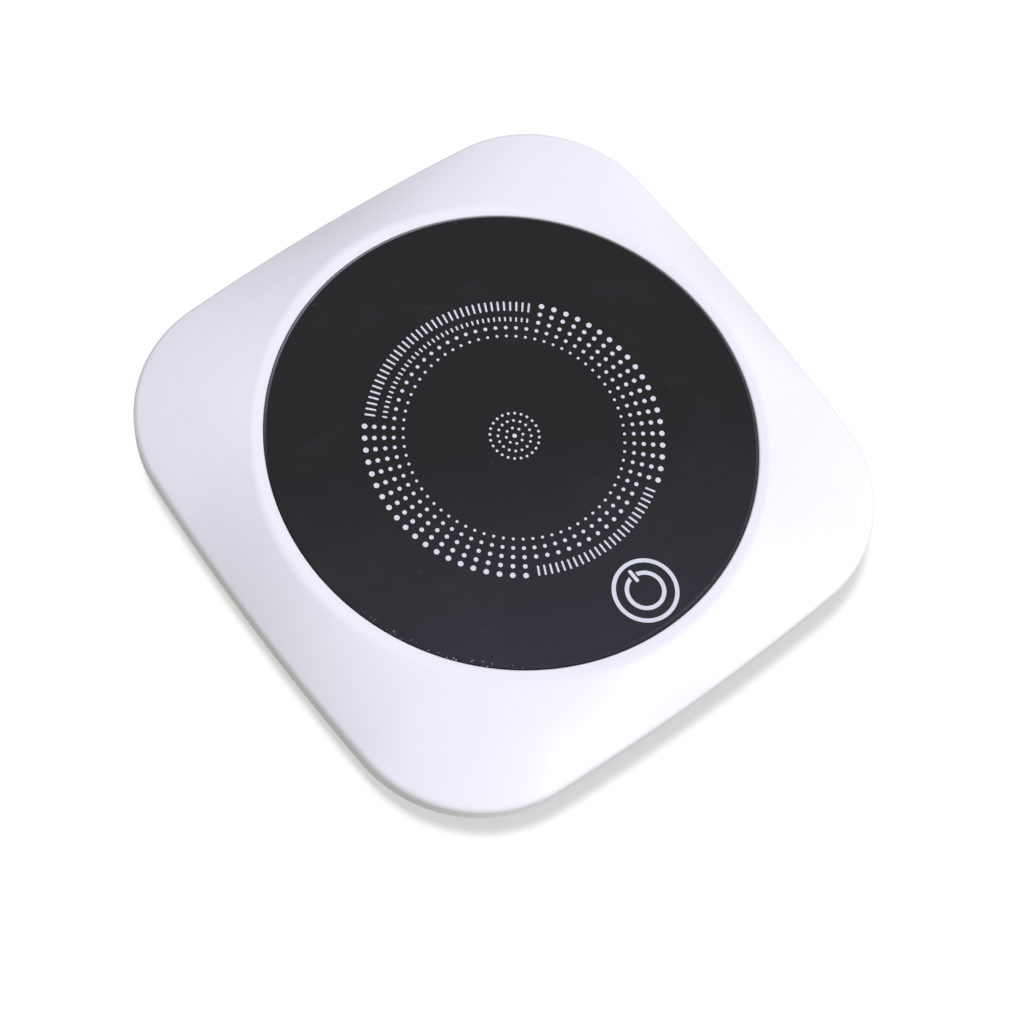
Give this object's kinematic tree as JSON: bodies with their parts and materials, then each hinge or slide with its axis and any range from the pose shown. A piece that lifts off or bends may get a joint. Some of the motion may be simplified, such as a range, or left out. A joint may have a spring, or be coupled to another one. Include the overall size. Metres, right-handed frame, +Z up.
{
  "type": "electric mug warmer",
  "caption": "Flat electric mug warmer: bowed square white body falling from a round black glass plate with dot rings, touch key in front, power inlet at the back.",
  "frame": {"origin": "centre of the body at the underside of the feet, on the table", "axes": "+Z up, the touch key lies towards -Y (front), the power inlet opens towards +Y (back), +X to the right"},
  "size_m": [0.14, 0.14, 0.023],
  "materials": {
    "cover_plastic": "satin moulded white",
    "base_plastic": "fine matt moulded white",
    "black_glass": "polished toughened glass with a black print behind it, opaque",
    "seal_silicone": "matt silicone",
    "pad_silicone": "filled silicone sheet",
    "spreader_aluminium": "rolled",
    "mica": "pressed mica sheet",
    "resistance_alloy": "etched resistance foil",
    "insulation_felt": "ceramic fibre felt",
    "zinc_steel": "zinc plated sheet",
    "screw_steel": "plated",
    "phenolic": "moulded phenolic",
    "ceramic_white": "unglazed steatite",
    "bimetal": "rolled bimetal",
    "contact_bronze": "rolled phosphor bronze",
    "contact_silver": "silver rivet",
    "sensor_epoxy": "epoxy coated bead on a tinned lug",
    "fuse_body": "glazed ceramic tube with tinned leads",
    "board_green": "solder mask over glass fibre",
    "chip_black": "moulded package with tinned leads",
    "capacitor_can": "drawn can on a black base",
    "ferrite": "sintered ferrite",
    "chip_ceramic": "ceramic chips with tinned ends",
    "connector_nylon": "moulded nylon",
    "spring_steel": "tinned spring wire",
    "guide_acrylic": "milky clear acrylic",
    "lamp_epoxy": "clear epoxy over phosphor",
    "inlet_plastic": "moulded black",
    "inlet_plating": "nickel plated",
    "lead_red": "silicone sleeve",
    "lead_blue": "silicone sleeve",
    "lead_black": "thin soft sleeve",
    "lead_brown": "soft sleeve",
    "foot_rubber": "matt rubber",
    "plate_film": "blank satin film"
  },
  "bodies": {
    "housing": {"top_cover": "cover_plastic", "bottom_cover": "base_plastic", "glass_plate": "black_glass", "glass_seal": "seal_silicone", "thermal_pad": "pad_silicone", "heat_spreader": "spreader_aluminium", "mica_upper": "mica", "heater_track": "resistance_alloy", "mica_lower": "mica", "insulation_pad": "insulation_felt", "heater_bracket": "zinc_steel", "bracket_screws": "screw_steel", "thermostat_cap": "spreader_aluminium", "thermostat_body": "phenolic", "disc_guide": "ceramic_white", "fixed_terminal": "contact_bronze", "common_terminal": "contact_bronze", "thermostat_flange": "zinc_steel", "flange_screws": "screw_steel", "thermistor": "sensor_epoxy", "thermistor_screw": "screw_steel", "thermal_fuse": "fuse_body", "fuse_clip": "zinc_steel", "control_board": "board_green", "board_screws": "screw_steel", "controller_chip": "chip_black", "power_transistor": "chip_black", "voltage_regulator": "chip_black", "filter_capacitor": "capacitor_can", "choke": "ferrite", "chip_parts": "chip_ceramic", "heater_connector": "connector_nylon", "sensor_connector": "connector_nylon", "power_connector": "connector_nylon", "touch_spring": "spring_steel", "light_guide": "guide_acrylic", "indicator_lights": "lamp_epoxy", "inlet_shell": "inlet_plastic", "inlet_pin": "inlet_plating", "inlet_spring": "contact_bronze", "heater_leads": "lead_red", "thermostat_leads": "lead_blue", "sensor_leads": "lead_black", "inlet_leads": "lead_brown", "case_screws": "screw_steel", "rubber_feet": "foot_rubber", "rating_plate": "plate_film"},
    "snap_disc": {"bimetal_disc": "bimetal"},
    "trip_pin": {"push_pin": "ceramic_white"},
    "switch_arm": {"contact_arm": "contact_bronze", "moving_contact": "contact_silver"}
  },
  "joints": [
    {"name": "disc_snap", "type": "slide", "parent": "housing", "child": "snap_disc", "axis": [0, 0, -1], "range_m": [0, 0.00045], "stiffness_N_per_m": 200},
    {"name": "pin_slide", "type": "slide", "parent": "housing", "child": "trip_pin", "axis": [0, 0, -1], "range_m": [0, 0.00045], "stiffness_N_per_m": 20},
    {"name": "arm_flex", "type": "hinge", "parent": "housing", "child": "switch_arm", "pos_m": [-0.0046, 0, 0.0103], "axis": [0, 1, 0], "range_deg": [0, 5.7], "stiffness_Nm_per_rad": 0.002}
  ],
  "couplings": [
    {"joint": "pin_slide", "follows": "disc_snap", "ratio": 1},
    {"joint": "arm_flex", "follows": "disc_snap", "rad_per_m": 217.39}
  ]
}
